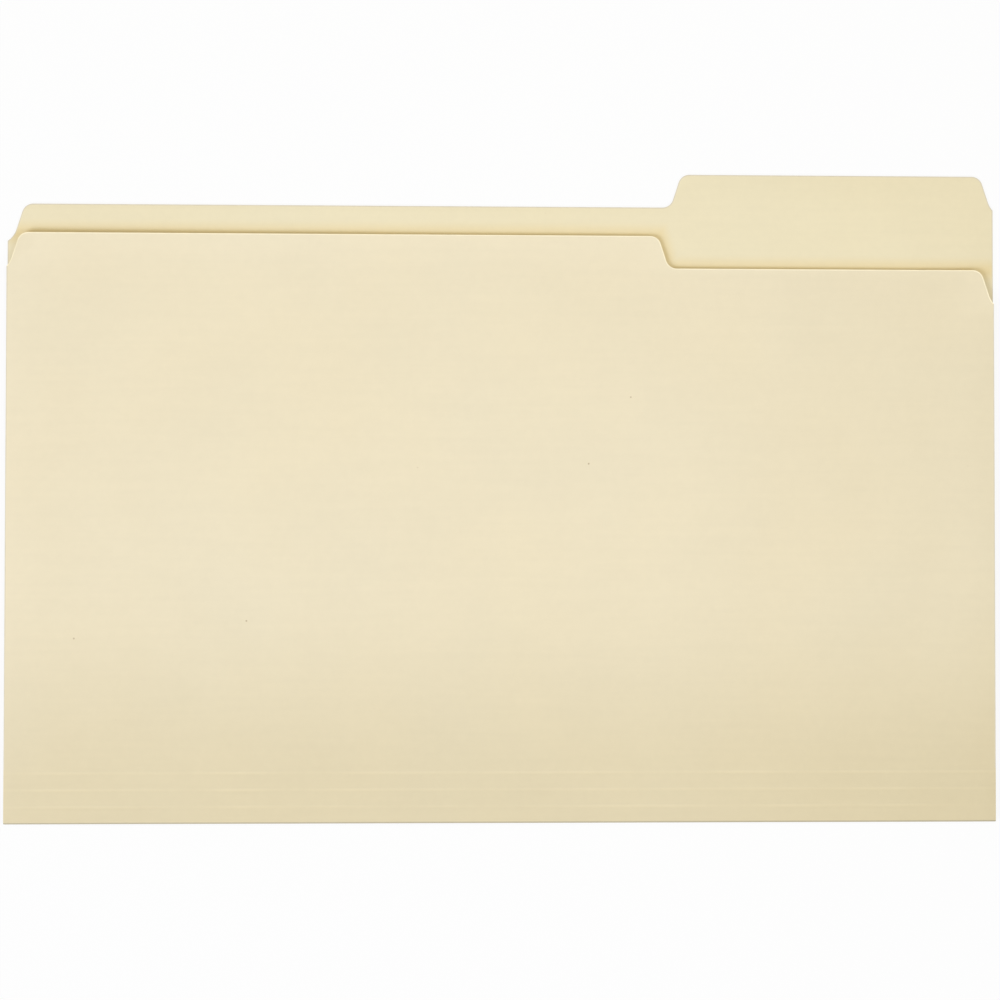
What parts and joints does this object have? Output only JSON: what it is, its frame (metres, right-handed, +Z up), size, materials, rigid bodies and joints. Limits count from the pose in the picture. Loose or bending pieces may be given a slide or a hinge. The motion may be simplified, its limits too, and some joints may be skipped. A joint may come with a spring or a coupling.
{
  "type": "file folder",
  "caption": "Legal-size manila file folder: a folded sheet of board with a raised tab at the right, an undercut front leaf, expansion scores and a cover that opens flat.",
  "frame": {"origin": "on the surface the folder lies on, under the middle of the closed folder's outline", "axes": "+X along the fold, +Y from the fold towards the tab, +Z up from the back leaf to the front leaf"},
  "size_m": [0.3746, 0.2462, 0.0021],
  "materials": {
    "manila_board": "uncoated",
    "creased_board": "pressed"
  },
  "bodies": {
    "back_leaf": {"back_panel": "manila_board", "bottom_fold": "creased_board"},
    "front_leaf": {"gusset_strip_1": "manila_board", "gusset_strip_2": "manila_board", "gusset_strip_3": "manila_board", "score_line_1": "creased_board", "score_line_2": "creased_board", "score_line_3": "creased_board", "front_panel": "manila_board"}
  },
  "joints": [
    {"name": "cover_open", "type": "hinge", "parent": "back_leaf", "child": "front_leaf", "pos_m": [0, -0.12227, 0.00083], "axis": [1, 0, 0], "range_deg": [0, 179.88], "deforming": ["bottom_fold"]}
  ]
}
